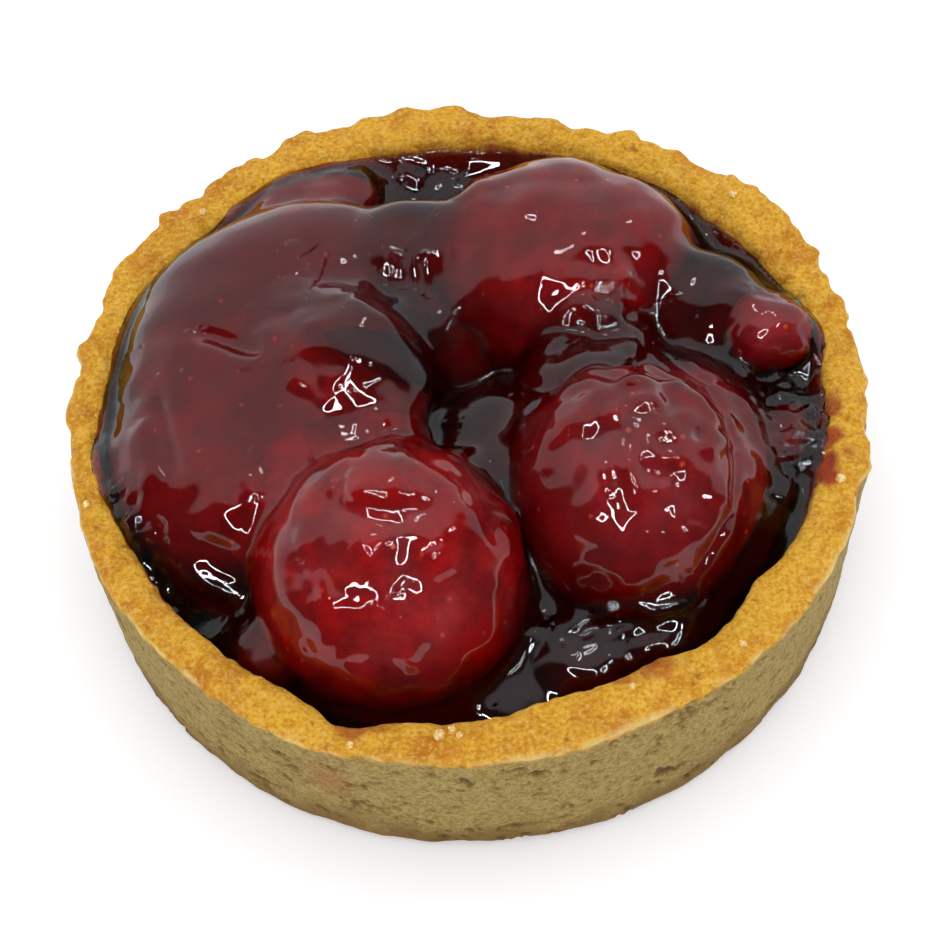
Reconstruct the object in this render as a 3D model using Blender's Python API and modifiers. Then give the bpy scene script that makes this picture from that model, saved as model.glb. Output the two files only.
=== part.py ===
"""A small strawberry tart: a straight-sided shortcrust shell filled with whole strawberries
that sit in dark strawberry jelly. Metres, +Z up, the origin under the middle of the base.

Run with: blender --background --python part.py
"""

import math
from collections import namedtuple

import bmesh
import bpy
from mathutils import Euler, Matrix, Vector, noise

MM = 0.001

# Pastry shell, in millimetres: an 8 cm tart ring, 2 cm deep
BASE_RADIUS = 39.0
RIM_RADIUS = 40.0
SHELL_HEIGHT = 19.3
FLOOR_THICKNESS = 4.0
INNER_RADIUS = 35.3
INNER_FLOOR_RADIUS = 33.5
INNER_EDGE = 1.3
BASE_BEVEL = 0.9
RIM_EDGE = 0.45
SHELL_STEPS = 120
WALL_STEPS = 5

# Where the rim stands out of its circle or in from it, as angle and width in degrees and
# depth in millimetres: dough that rose over the ring, and stretches that shrank
Swell = namedtuple("Swell", "angle width depth")
OUTER_SWELLS = (
    Swell(142.0, 14.0, 1.4),
    Swell(105.0, 17.0, 1.1),
    Swell(73.0, 10.0, -1.2),
    Swell(33.0, 14.0, 1.1),
    Swell(-14.0, 10.0, -0.5),
    Swell(-68.0, 10.0, -0.5),
    Swell(-116.0, 8.0, 0.7),
    Swell(-167.0, 10.0, -0.4),
    Swell(165.0, 5.0, -0.3),
)
# The same for its inner edge: thin at the left, a notch at the front, thick beside it
INNER_SWELLS = (
    Swell(165.0, 60.0, 0.9),
    Swell(-111.0, 5.0, 1.8),
    Swell(-77.0, 12.0, -1.6),
    Swell(-41.0, 6.0, -1.1),
    Swell(8.0, 14.0, 0.6),
)
RIM_WAVE = 0.5
RIM_WAVE_SIZE = 12.0
CRAG = 0.4
CRAG_SIZE = 3.2
WALL_CRAG = 0.22
WALL_CRAG_SIZE = 2.6

# Jelly, in millimetres
JELLY_LEVEL = 16.4
JELLY_GAP = 0.35
JELLY_EDGE = 0.6
JELLY_FLOOR_EDGE = 1.6
JELLY_WAVE = 0.25
JELLY_WAVE_SIZE = 6.0
WEB_CENTRE = (2.0, 1.0)
WEB_HEIGHT = 5.0
WEB_SPREAD = 9.0
CREEP_HEIGHT = 0.09
CREEP_REACH = 1.3
CREEP_FADE = 4.0
JELLY_STEPS = 60
JELLY_RINGS = 13

# A berry's cutter stands this much proud of it, so that pieces that touch keep a gap
BERRY_GAP = 0.35
BERRY_LUMP = 0.35
BERRY_LUMP_SIZE = 9.0

# centre, half-lengths along and across the berry's own axis, turn about Z and tilt of that
# axis in degrees, how far it narrows to its tip, and the segments of its mesh
Berry = namedtuple("Berry", "name centre radii turn tilt taper segments")
BERRIES = (
    Berry("berry_front", (-8.3, -18.6, 18.4), (13.3, 13.3, 12.3), -70, 0, 0.06, 24),
    Berry("berry_right", (14.8, -8.9, 18.0), (13.2, 11.6, 12.2), -82, 6, 0.10, 24),
    Berry("berry_back", (10.5, 17.8, 17.8), (14.7, 12.4, 12.0), 8, 0, 0.05, 24),
    Berry("berry_left", (-20.6, -3.2, 17.6), (16.5, 14.0, 11.4), -35, 0, 0.04, 24),
    Berry("berry_left_back", (-18.4, 14.8, 17.2), (16.6, 11.8, 9.9), 30, 0, 0.06, 24),
    Berry("berry_right_low", (21.9, -5.6, 15.6), (12.6, 8.5, 7.0), -84, 0, 0.04, 22),
    Berry("small_berry_right", (31.0, 6.6, 19.3), (3.9, 4.4, 4.5), 20, 0, 0.10, 14),
    Berry("small_berry_edge", (32.0, -4.0, 16.2), (4.3, 3.0, 3.4), 85, 0, 0.05, 14),
    Berry("small_berry_front", (-19.2, -23.7, 16.2), (5.2, 4.0, 3.8), 45, 0, 0.10, 14),
    Berry("small_berry_back", (-15.6, 28.0, 16.8), (8.3, 4.2, 4.9), 24, 0, 0.10, 16),
)

COLOURS = {
    "crust": ((0.62, 0.36, 0.11), 0.85),
    "jelly": ((0.045, 0.006, 0.010), 0.06),
    "berry": ((0.24, 0.010, 0.012), 0.08),
}


def clear_scene():
    for obj in list(bpy.data.objects):
        bpy.data.objects.remove(obj, do_unlink=True)


def new_collection(name):
    collection = bpy.data.collections.new(name)
    bpy.context.scene.collection.children.link(collection)
    return collection


def surface(name, kind):
    """The material of one piece."""
    colour, roughness = COLOURS[kind]
    made = bpy.data.materials.new(name)
    made.use_nodes = True
    shader = made.node_tree.nodes["Principled BSDF"]
    shader.inputs["Base Color"].default_value = (*colour, 1.0)
    shader.inputs["Roughness"].default_value = roughness
    shader.inputs["Metallic"].default_value = 0.0
    return made


def add_object(name, mesh, collection, kind):
    obj = bpy.data.objects.new(name, mesh)
    collection.objects.link(obj)
    mesh.materials.clear()
    mesh.materials.append(surface(name, kind))
    mesh.shade_smooth()
    mesh.set_sharp_from_angle(angle=math.radians(50))
    return obj


def baked_mesh(obj):
    """The object's mesh with its modifiers applied. The object itself is removed."""
    bpy.context.view_layer.update()
    graph = bpy.context.evaluated_depsgraph_get()
    mesh = bpy.data.meshes.new_from_object(obj.evaluated_get(graph))
    bpy.data.objects.remove(obj, do_unlink=True)
    return mesh


def relief(x, y, z, size, seed):
    """Smooth noise from -1 to 1 whose bumps are about size millimetres across."""
    return noise.noise(Vector((x / size + seed, y / size - seed, z / size + 2 * seed)))


def swell_at(angle, swells):
    """The sum of the swells at this angle, each a smooth bump of its own width."""
    total = 0.0
    for swell in swells:
        away = (angle - swell.angle + 180.0) % 360.0 - 180.0
        total += swell.depth * math.exp(-((away / swell.width) ** 2))
    return total


def shell_profile():
    """Radius and height in millimetres, from the middle of the floor over the rim to the
    middle of the base."""
    top = SHELL_HEIGHT
    wall_low = FLOOR_THICKNESS + 1.2
    wall_high = top - 1.4
    points = [(0.0, FLOOR_THICKNESS), (16.0, FLOOR_THICKNESS)]
    points.append((INNER_FLOOR_RADIUS - 1.5, FLOOR_THICKNESS))
    for step in range(WALL_STEPS + 1):
        share = step / WALL_STEPS
        radius = INNER_FLOOR_RADIUS + (INNER_RADIUS - INNER_FLOOR_RADIUS) * share
        points.append((radius, wall_low + (wall_high - wall_low) * share))
    points += [(INNER_RADIUS + 0.4, top - 0.5), (INNER_RADIUS + INNER_EDGE, top - 0.05)]
    points += [(INNER_RADIUS + 2.4, top), (RIM_RADIUS - 1.2, top)]
    points += [(RIM_RADIUS - 0.35, top - 0.1), (RIM_RADIUS, top - RIM_EDGE)]
    for step in range(1, WALL_STEPS + 1):
        share = step / WALL_STEPS
        height = (top - RIM_EDGE) * (1 - share) + BASE_BEVEL * share
        points.append((RIM_RADIUS - 0.15 + (BASE_RADIUS - RIM_RADIUS + 0.15) * share, height))
    points += [(BASE_RADIUS - BASE_BEVEL, 0.0), (20.0, 0.0), (0.0, 0.0)]
    return points


def craggy(vertex):
    """Moves a vertex of the turned shell to where the baked dough has it."""
    x, y, z = vertex / MM
    radius = math.hypot(x, y)
    if radius < INNER_FLOOR_RADIUS - 0.5 or z < 0.01:
        return vertex
    angle = math.degrees(math.atan2(y, x))
    up = min(max((z - FLOOR_THICKNESS) / (SHELL_HEIGHT - FLOOR_THICKNESS), 0.0), 1.0)
    near_rim = up**3
    edge = INNER_RADIUS + INNER_EDGE
    outside = min(max((radius - edge) / (RIM_RADIUS - edge), 0.0), 1.0)
    crag = CRAG * relief(x, y, 0.0, CRAG_SIZE, 9.0)
    shift = outside * WALL_CRAG * relief(x, y, z, WALL_CRAG_SIZE, 3.0)
    shift += outside * near_rim * (swell_at(angle, OUTER_SWELLS) + crag)
    shift += (1 - outside) * (up * swell_at(angle, INNER_SWELLS) + near_rim * crag)
    lift = near_rim * (RIM_WAVE * relief(x, y, 0.0, RIM_WAVE_SIZE, 5.0) + crag)
    scale = (radius + shift) / radius
    return Vector((x * scale, y * scale, z + lift)) * MM


def turned_shell(collection):
    outline = bpy.data.meshes.new("shell_outline")
    points = [(radius * MM, 0.0, height * MM) for radius, height in shell_profile()]
    edges = [(i, i + 1) for i in range(len(points) - 1)]
    outline.from_pydata(points, edges, [])
    turned = bpy.data.objects.new("shell_turned", outline)
    collection.objects.link(turned)
    screw = turned.modifiers.new("turn", "SCREW")
    screw.steps = screw.render_steps = SHELL_STEPS
    screw.use_merge_vertices = True
    screw.merge_threshold = 0.00002
    mesh = baked_mesh(turned)
    for vertex in mesh.vertices:
        vertex.co = craggy(vertex.co.copy())
    return mesh


def make_crust(collection):
    add_object("crust", turned_shell(collection), collection, "crust")


def make_shell_cutter(collection):
    """The shell a gap thicker all round, to cut what leans on it."""
    mesh = turned_shell(collection)
    normals = [vertex.normal.copy() for vertex in mesh.vertices]
    for vertex, normal in zip(mesh.vertices, normals):
        vertex.co += normal * BERRY_GAP * MM
    cutter = bpy.data.objects.new("shell_cutter", mesh)
    collection.objects.link(cutter)
    hide(cutter)
    return cutter


def hide(cutter):
    cutter.hide_render = True
    cutter.display_type = "WIRE"


def berry_matrix(berry):
    turn = Euler((0.0, math.radians(-berry.tilt), math.radians(berry.turn)), "XYZ")
    return Matrix.Translation(Vector(berry.centre)) @ turn.to_matrix().to_4x4()


def berry_mesh(berry, proud):
    """A berry that narrows to its tip, with soft lumps. proud is added all round."""
    shape = bmesh.new()
    bmesh.ops.create_uvsphere(
        shape, u_segments=berry.segments, v_segments=berry.segments * 5 // 9, radius=1.0
    )
    place = berry_matrix(berry)
    for vertex in shape.verts:
        along, across, up = vertex.co
        narrow = 1.0 - berry.taper * along
        size = [radius + proud for radius in berry.radii]
        point = place @ Vector(
            (along * size[0], across * size[1] * narrow, up * size[2] * narrow)
        )
        outward = (point - Vector(berry.centre)).normalized()
        point += outward * BERRY_LUMP * relief(*point, BERRY_LUMP_SIZE, 1.0)
        vertex.co = point * MM
    mesh = bpy.data.meshes.new(berry.name)
    shape.to_mesh(mesh)
    shape.free()
    return mesh


def make_cutters(collection):
    """For each berry, the same berry a gap larger, to cut what it touches."""
    cutters = {}
    for berry in BERRIES:
        name = berry.name + "_cutter"
        cutter = bpy.data.objects.new(name, berry_mesh(berry, BERRY_GAP))
        collection.objects.link(cutter)
        hide(cutter)
        cutters[berry.name] = cutter
    return cutters


def cut(obj, cutter):
    boolean = obj.modifiers.new("cut_" + cutter.name, "BOOLEAN")
    boolean.operation = "DIFFERENCE"
    boolean.object = cutter
    boolean.solver = "EXACT"


def make_berries(collection, cutters, shell_cutter):
    """The first berries of the list are whole, and each later one gives way to them. Those
    near the shell lean on it."""
    for index, berry in enumerate(BERRIES):
        obj = add_object(berry.name, berry_mesh(berry, 0.0), collection, "berry")
        for earlier in BERRIES[:index]:
            reach = max(berry.radii) + max(earlier.radii)
            if (Vector(berry.centre) - Vector(earlier.centre)).length < reach:
                cut(obj, cutters[earlier.name])
        if Vector(berry.centre).xy.length + max(berry.radii[:2]) > INNER_FLOOR_RADIUS:
            cut(obj, shell_cutter)


def distance_to_berry(berry, point):
    """About how far a point is outside the berry, in millimetres."""
    local = berry_matrix(berry).inverted() @ point
    scaled = Vector([c / r for c, r in zip(local, berry.radii)]).length
    steeper = Vector([c / (r * r) for c, r in zip(local, berry.radii)]).length
    return scaled * (scaled - 1.0) / max(steeper, 1e-6)


def jelly_height(x, y):
    """The jelly's surface: level in the pools, a high web between the large berries, and
    drawn up a little against each berry but not where it meets the shell."""
    from_web = math.hypot(x - WEB_CENTRE[0], y - WEB_CENTRE[1])
    height = JELLY_LEVEL + WEB_HEIGHT * math.exp(-((from_web / WEB_SPREAD) ** 2))
    room = (INNER_RADIUS - 1.0 - math.hypot(x, y)) / CREEP_FADE
    room = min(max(room, 0.0), 1.0)
    for berry in BERRIES:
        away = max(distance_to_berry(berry, Vector((x, y, height))), 0.0)
        height += room * CREEP_HEIGHT * max(berry.radii) * math.exp(-away / CREEP_REACH)
    return height + JELLY_WAVE * relief(x, y, 0.0, JELLY_WAVE_SIZE, 4.0)


def make_jelly(collection, cutter_collection):
    shape = bmesh.new()
    rings = []
    floor = FLOOR_THICKNESS + JELLY_GAP
    for ring in range(1, JELLY_RINGS + 1):
        share = ring / JELLY_RINGS
        row = []
        for step in range(JELLY_STEPS):
            angle = 360.0 * step / JELLY_STEPS
            edge = INNER_RADIUS + swell_at(angle, INNER_SWELLS)
            radius = (edge - JELLY_GAP - JELLY_EDGE) * share
            x = radius * math.cos(math.radians(angle))
            y = radius * math.sin(math.radians(angle))
            row.append(shape.verts.new((x, y, jelly_height(x, y))))
        rings.append(row)
    middle = shape.verts.new((0.0, 0.0, jelly_height(0.0, 0.0)))
    lowest = []
    for step in range(JELLY_STEPS):
        angle = math.radians(360.0 * step / JELLY_STEPS)
        radius = INNER_FLOOR_RADIUS - JELLY_GAP - JELLY_FLOOR_EDGE
        lowest.append(shape.verts.new((radius * math.cos(angle), radius * math.sin(angle), floor)))
    for step in range(JELLY_STEPS):
        after = (step + 1) % JELLY_STEPS
        shape.faces.new((middle, rings[0][step], rings[0][after]))
        for inner, outer in zip(rings, rings[1:]):
            shape.faces.new((inner[step], outer[step], outer[after], inner[after]))
        shape.faces.new((rings[-1][step], lowest[step], lowest[after], rings[-1][after]))
    shape.faces.new(list(reversed(lowest)))
    bmesh.ops.scale(shape, vec=(MM, MM, MM), verts=shape.verts)
    bmesh.ops.recalc_face_normals(shape, faces=shape.faces)
    mesh = bpy.data.meshes.new("jelly")
    shape.to_mesh(mesh)
    shape.free()
    jelly = add_object("jelly", mesh, collection, "jelly")
    boolean = jelly.modifiers.new("cut_berries", "BOOLEAN")
    boolean.operation = "DIFFERENCE"
    boolean.operand_type = "COLLECTION"
    boolean.collection = cutter_collection
    boolean.solver = "MANIFOLD"


def main():
    clear_scene()
    tart = new_collection("strawberry_tart")
    berry_cutters = new_collection("cutters")
    shell_cutters = new_collection("shell_cutters")
    make_crust(tart)
    shell_cutter = make_shell_cutter(shell_cutters)
    cutters = make_cutters(berry_cutters)
    make_berries(tart, cutters, shell_cutter)
    make_jelly(tart, berry_cutters)


main()
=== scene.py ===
"""The looks of a small strawberry tart: baked crust, strawberries and clear dark red glaze.
The frame is in metres. Shapes are worked out in millimetres and scaled at the end."""

import math
from collections import namedtuple

import bmesh
import bpy
import numpy as np
from mathutils import Matrix, Vector, noise

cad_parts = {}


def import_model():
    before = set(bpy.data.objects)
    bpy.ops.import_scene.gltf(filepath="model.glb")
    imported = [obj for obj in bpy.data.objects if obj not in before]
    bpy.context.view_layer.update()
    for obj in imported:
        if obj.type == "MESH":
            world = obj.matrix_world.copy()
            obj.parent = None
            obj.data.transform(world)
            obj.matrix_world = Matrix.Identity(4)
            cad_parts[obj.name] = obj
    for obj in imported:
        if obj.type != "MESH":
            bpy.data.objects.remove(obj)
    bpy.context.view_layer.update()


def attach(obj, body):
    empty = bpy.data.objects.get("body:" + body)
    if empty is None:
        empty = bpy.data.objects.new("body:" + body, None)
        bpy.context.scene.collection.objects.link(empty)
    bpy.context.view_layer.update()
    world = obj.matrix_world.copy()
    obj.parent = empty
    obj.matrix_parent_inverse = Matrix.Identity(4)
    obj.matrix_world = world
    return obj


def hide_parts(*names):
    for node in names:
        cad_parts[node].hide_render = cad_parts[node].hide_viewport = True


MM = 0.001

# Pastry shell
BASE_RADIUS = 39.0
RIM_RADIUS = 40.0
SHELL_HEIGHT = 19.3
FLOOR_THICKNESS = 4.0
INNER_RADIUS = 35.3
INNER_FLOOR_RADIUS = 33.5
INNER_EDGE = 1.3
BASE_BEVEL = 0.9
RIM_EDGE = 0.45
QUICK_COARSER = 1
CRUST_STEP = 0.35 * QUICK_COARSER
CRUST_AROUND = 660 // QUICK_COARSER
HIDDEN_STEPS = 3
BASE_STEPS = 8
# The inner wall's radius at these heights, from the floor to just over the rim
INNER_WALL_HEIGHTS = (0.0, 5.2, 17.9, 18.8, 19.25, 19.4)
INNER_WALL_RADII = (33.5, 33.5, 35.3, 35.7, 36.6, 38.0)

# Where the shell's outer and inner sides swell or, below zero, draw in: angles in degrees
Swell = namedtuple("Swell", "angle width depth")
OUTER_SWELLS = (
    Swell(142.0, 14.0, 1.4),
    Swell(105.0, 17.0, 1.1),
    Swell(73.0, 10.0, -1.2),
    Swell(33.0, 14.0, 1.1),
    Swell(-14.0, 10.0, -0.5),
    Swell(-68.0, 10.0, -0.5),
    Swell(-116.0, 8.0, 0.7),
    Swell(-167.0, 10.0, -0.4),
    Swell(165.0, 5.0, -0.3),
)
INNER_SWELLS = (
    Swell(165.0, 60.0, 0.9),
    Swell(-111.0, 5.0, 1.8),
    Swell(-77.0, 12.0, -1.6),
    Swell(-62.0, 5.5, -1.2),
    Swell(-41.0, 6.0, -1.1),
    Swell(8.0, 14.0, 0.6),
)

# Knobs round the rim: where and how wide on the steep and on the gentle side, in degrees, how
# far they stand out in millimetres, and the share of that which is left at the front
KNOB_ANGLES = (0, 12, 24, 32, 39, 60, 73, 88, 96, 115, 130, 138, 150, 155, 166, 178, 205, 331, 344)
KNOB_STEEP = 1.2
KNOB_GENTLE = 4.0
KNOB_HEIGHT = 0.75
KNOB_FRONT_SHARE = 0.3

# Raised flakes of crust on the rim: place, radius and height
Step = namedtuple("Step", "x y size height")
STEPS = (
    Step(37.6, -9.4, 2.4, 0.55),
    Step(38.6, -3.0, 2.2, 0.30),
    Step(-38.0, 9.0, 2.0, 0.25),
    Step(-22.0, 33.0, 2.2, 0.30),
    Step(12.5, -34.5, 2.2, 0.22),
    Step(30.5, 25.5, 2.4, 0.35),
)

# Berries with their glaze on: centre, half-lengths along, across and over their own axis, turn
# of that axis about Z and its tilt in degrees, how far they narrow to the tip, how square their
# upright section is (2 is round), how thick the glaze on them is, how far off it flows into the
# berries listed before, and how high and how wide its lumps are
Berry = namedtuple("Berry", "name centre radii turn tilt taper square thick join lump lump_size")
BERRIES = (
    Berry("berry_left_back", (-18.4, 14.4, 16.8), (16.4, 11.6, 9.2), 30, 3, 0.06, 2.4, 2.0, 1, 0.3, 8),
    Berry("berry_left", (-21.8, -3.9, 15.0), (15.0, 14.0, 10.0), -16, 0, 0.0, 2.3, 1.6, 8, 0.45, 6),
    Berry("berry_back", (10.3, 17.6, 17.0), (14.6, 12.3, 10.4), 8, 0, 0.05, 2.5, 1.3, 6, 0.7, 7.5),
    Berry("berry_right_low", (22.4, -5.8, 15.2), (12.6, 8.8, 7.2), -84, 0, 0.04, 2.0, 2.4, 3, 0.3, 4),
    Berry("berry_right", (15.1, -10.8, 17.4), (12.4, 11.5, 11.2), -82, -31, 0.0, 2.5, 0.8, 2.5, 0.6, 5),
    Berry("berry_front", (-8.3, -17.7, 16.8), (12.9, 13.0, 11.8), -88, -40, 0.0, 2.8, 0.8, 2, 0.7, 5.5),
    Berry("small_berry_right", (31.0, 6.6, 19.0), (4.6, 4.2, 4.2), -10, 0, 0.16, 2.0, 0.6, 3, 0.4, 3),
    Berry("small_berry_edge", (32.0, -4.0, 15.4), (4.3, 3.0, 3.2), 85, 0, 0.05, 2.0, 1.0, 2, 0.5, 2.4),
    Berry("small_berry_front", (-19.2, -23.7, 14.2), (5.2, 4.0, 3.6), 45, 0, 0.1, 2.0, 1.0, 2, 0.3, 3),
    Berry("small_berry_back", (-15.6, 28.0, 16.4), (8.3, 4.2, 4.5), 24, 0, 0.1, 2.2, 0.8, 2, 0.4, 4),
)

# Shoulders, given like the berries, with the name of the berry that each of them swells
SHOULDERS = (
    Berry("berry_left", (-12.4, 2.4, 17.9), (10.8, 9.9, 9.5), -90, -36, 0.0, 2.7, 1.6, 3.5, 0.6, 4.5),
)

# Glaze: its level in the pools, and the mounds where it stands higher between the berries
JELLY_LEVEL = 14.9
Mound = namedtuple("Mound", "x y height spread")
MOUNDS = (
    Mound(-4.5, 18.0, 9.6, 7.5),
    Mound(-2.5, 10.0, 7.4, 6.0),
    Mound(4.0, -4.0, 6.4, 8.0),
    Mound(13.5, 4.5, 8.0, 7.0),
    Mound(9.5, 1.8, 8.6, 4.6),
    Mound(25.0, 11.5, 7.0, 6.5),
    Mound(9.5, -26.6, 2.0, 4.5),
    Mound(17.0, -25.6, 2.2, 4.5),
)
# Mounds that meet blend as the sum of their heights to this power
MOUND_BLEND = 5
# At the shell it is drawn up by the creep, and along the front it sinks by the dip instead
WALL_CREEP = 2.8
WALL_CREEP_REACH = 2.1
FRONT_DIP = 1.6
# The height at which the room between a pool and the inner wall is measured
POOL_WALL_HEIGHT = 17.0
# The pools' lumps, and how much of a height over a pool counts as distance from it
POOL_LUMP = 0.35
POOL_LUMP_SIZE = 5.0
POOL_SLOPE = 0.85
# How far off the pools flow into the berries, how far the glaze goes into the wall and below
# the floor's surface, and how far from a berry its lumps are worked out
POOL_JOIN = 4.5
WALL_SEAT = 0.25
FLOOR_SEAT = 0.3
LUMP_REACH = 3.0
# How deep the cloudy core lies, and how far and in how many passes a fruit swells towards the
# glaze above it
CORE_DEPTH = 3.2
FRUIT_REACH = 5.0
FRUIT_PASSES = 8
# The box in which the surface is looked for, the size of its cells, how near the surface the
# detail is worked out, and how far apart the field is read for its slope
GLAZE_LOW = (-37.5, -37.5, 3.4)
GLAZE_HIGH = (37.5, 37.5, 33.5)
GLAZE_STEP = 0.37
CORE_STEP = 0.8
DETAIL_BAND = 2.0
SLOPE_NUDGE = 0.03

# Folds and creases of the glaze: a line between two points, its half-width, and its height,
# which is below zero for a crease
Fold = namedtuple("Fold", "start end width height")
FOLDS = (
    # on berry_left_back and berry_left
    Fold((-26.6, 6.8, 25.4), (-19.7, 2.4, 26.9), 0.8, -0.8),
    Fold((-26.0, 4.8, 25.5), (-19.6, 0.8, 26.7), 1.3, 0.35),
    Fold((-19.5, 2.6, 27.0), (-10.8, 1.6, 28.2), 3.0, -0.5),
    Fold((-30.3, 0.2, 23.9), (-28.2, -9.5, 23.5), 1.0, -0.7),
    Fold((-32.0, -2.0, 23.0), (-29.9, -10.2, 22.6), 1.4, 0.4),
    Fold((-20.7, -7.4, 24.8), (-20.6, -7.5, 24.8), 0.8, 0.3),
    Fold((-21.7, -9.7, 24.4), (-20.4, -12.6, 23.4), 1.1, 0.4),
    Fold((-15.5, -9.4, 24.4), (-15.1, -9.4, 24.5), 1.3, -0.35),
    Fold((-15.1, 15.7, 25.9), (-15.0, 15.6, 25.9), 1.5, -0.9),
    Fold((-13.9, 13.1, 25.8), (-13.6, 13.0, 25.8), 1.8, -1.2),
    Fold((-16.5, 17.2, 25.9), (-15.8, 12.5, 26.0), 1.1, 0.3),
    # between berry_left_back and berry_back
    Fold((-5.6, 15.5, 25.5), (-5.6, 11.4, 23.8), 0.9, -0.45),
    Fold((-3.2, 14.8, 25.5), (-2.9, 10.1, 23.6), 0.9, -0.5),
    Fold((-1.1, 7.4, 22.8), (2.8, 6.5, 20.2), 2.0, -0.5),
    # on berry_back
    Fold((0.2, 20.7, 25.6), (3.5, 24.2, 25.5), 1.2, 0.35),
    Fold((4.3, 11.8, 26.3), (8.3, 11.5, 26.7), 1.4, -0.3),
    Fold((15.5, 10.8, 25.5), (16.0, 9.6, 24.6), 1.2, 0.4),
    Fold((17.3, 8.7, 23.2), (17.4, 7.7, 22.8), 1.3, -0.4),
    Fold((20.4, 9.5, 21.8), (20.6, 9.1, 21.4), 1.4, -0.4),
    # between berry_back and berry_right
    Fold((5.6, 2.9, 20.1), (13.8, 5.1, 23.6), 1.3, -0.5),
    Fold((8.4, -0.7, 23.7), (17.6, 3.8, 22.4), 1.6, 0.8),
    # on berry_right, with the gap to berry_right_low
    Fold((7.6, -12.5, 27.0), (16.9, -2.6, 26.8), 0.7, -0.4),
    Fold((11.2, -7.5, 29.0), (19.1, 3.4, 21.3), 0.7, -0.35),
    Fold((12.0, -13.1, 28.6), (12.3, -17.3, 26.5), 0.9, 0.5),
    Fold((14.5, -13.4, 28.7), (15.4, -18.3, 25.9), 0.9, 0.5),
    Fold((19.3, 4.5, 21.0), (23.8, -1.7, 22.1), 0.7, -0.6),
    Fold((23.8, -1.7, 22.1), (25.4, -10.3, 23.8), 0.7, -0.6),
    Fold((25.4, -10.3, 23.8), (24.3, -16.9, 22.7), 0.7, -0.6),
    Fold((24.3, -16.9, 22.7), (20.4, -21.9, 20.2), 0.7, -0.5),
    # on berry_front and beside it
    Fold((-11.6, -15.7, 30.0), (-5.8, -16.5, 30.1), 2.2, 0.7),
    Fold((-14.0, -17.7, 29.2), (-3.1, -19.3, 29.0), 1.3, -0.7),
    Fold((-11.8, -19.5, 29.4), (-5.9, -20.5, 29.1), 0.6, -0.18),
    Fold((-11.4, -21.3, 28.7), (-8.8, -22.7, 27.9), 1.5, 0.4),
    Fold((-4.2, -22.2, 27.9), (-3.2, -24.5, 26.0), 1.0, 0.45),
    Fold((-8.6, -25.7, 25.5), (-8.5, -25.9, 25.4), 0.7, 0.3),
    Fold((-6.7, -24.9, 26.1), (-6.6, -25.0, 26.1), 0.6, 0.3),
    Fold((-16.3, -21.9, 26.8), (-15.1, -25.3, 25.0), 0.9, -0.5),
    Fold((-2.2, -25.9, 24.5), (-5.9, -30.4, 20.0), 1.6, -0.35),
    Fold((3.1, -16.6, 24.0), (3.1, -18.3, 24.4), 1.2, 0.5),
    # in the pools: left, front and right
    Fold((-28.8, -16.3, 17.7), (-22.4, -19.7, 16.6), 1.3, 0.6),
    Fold((-26.3, -15.4, 20.5), (-20.1, -20.9, 23.1), 1.2, -0.5),
    Fold((7.3, -26.5, 16.7), (15.0, -25.0, 18.0), 0.9, -0.4),
    Fold((8.6, -28.1, 16.7), (16.7, -26.3, 17.1), 0.9, -0.35),
    Fold((11.3, -24.1, 17.8), (19.8, -24.1, 17.6), 0.9, 0.35),
    Fold((20.9, -23.1, 17.1), (22.3, -24.6, 14.6), 1.2, 0.5),
    Fold((-5.7, 34.1, 16.9), (-3.0, 32.8, 15.8), 1.2, 0.5),
    Fold((-1.1, 34.7, 17.0), (1.2, 33.2, 15.9), 1.2, -0.5),
    Fold((-35.0, -8.1, 20.1), (-34.4, -9.3, 20.1), 1.2, 0.6),
    Fold((-33.4, -10.9, 19.8), (-32.2, -12.5, 19.5), 1.3, 0.6),
    Fold((31.9, 1.7, 17.1), (32.1, 0.0, 17.6), 1.2, 0.6),
    Fold((32.6, -5.5, 18.7), (32.5, -7.0, 18.4), 1.4, 0.7),
    Fold((30.9, -7.8, 18.4), (31.1, -8.5, 18.1), 1.0, 0.5),
    Fold((31.1, -10.5, 17.5), (29.7, -13.4, 17.6), 1.2, 0.5),
)
# A fold reaches points above or below its line, because distances along this direction count
# only by this share
FOLD_AXIS = (0.0, -0.566, 0.825)
FOLD_DEPTH_SHARE = 0.25
# Points further than this from the middle of a fold's line are left out
FOLD_REACH = 12.0
# Round patches of lumps: centre, radius, and the size and height of the lumps
Patch = namedtuple("Patch", "centre radius size height")
PATCHES = (
    Patch((17.5, -9.0, 27.0), 8.0, 2.6, 0.8),
    Patch((14.5, 8.5, 24.5), 5.5, 2.4, 0.5),
    Patch((13.0, -26.0, 17.0), 8.0, 2.0, 0.16),
    Patch((32.0, -4.0, 17.5), 6.5, 1.7, 0.35),
    Patch((-32.5, -12.0, 17.5), 6.0, 1.8, 0.35),
    Patch((-8.3, -20.0, 28.0), 10.0, 1.6, 0.10),
)

# Where juice has soaked into the crust: the inner edge at the right and front, and the side.
# Place, size, and how strong the colour is
Soak = namedtuple("Soak", "x y z size strength")
SOAKS = (
    Soak(15.8, -31.4, 19.2, 2.8, 0.75),
    Soak(13.4, -32.2, 19.2, 2.4, 0.65),
    Soak(34.6, -10.0, 19.0, 2.8, 1.0),
    Soak(35.3, -6.5, 19.0, 2.2, 0.90),
    Soak(35.6, -2.8, 19.0, 2.0, 0.80),
    Soak(-12.0, -34.3, 19.0, 2.0, 0.65),
    Soak(-10.0, -34.7, 19.0, 1.5, 0.50),
    Soak(-15.4, -36.6, 11.5, 3.4, 0.30),
    Soak(-13.0, -38.3, 8.0, 1.6, 0.18),
)
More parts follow.
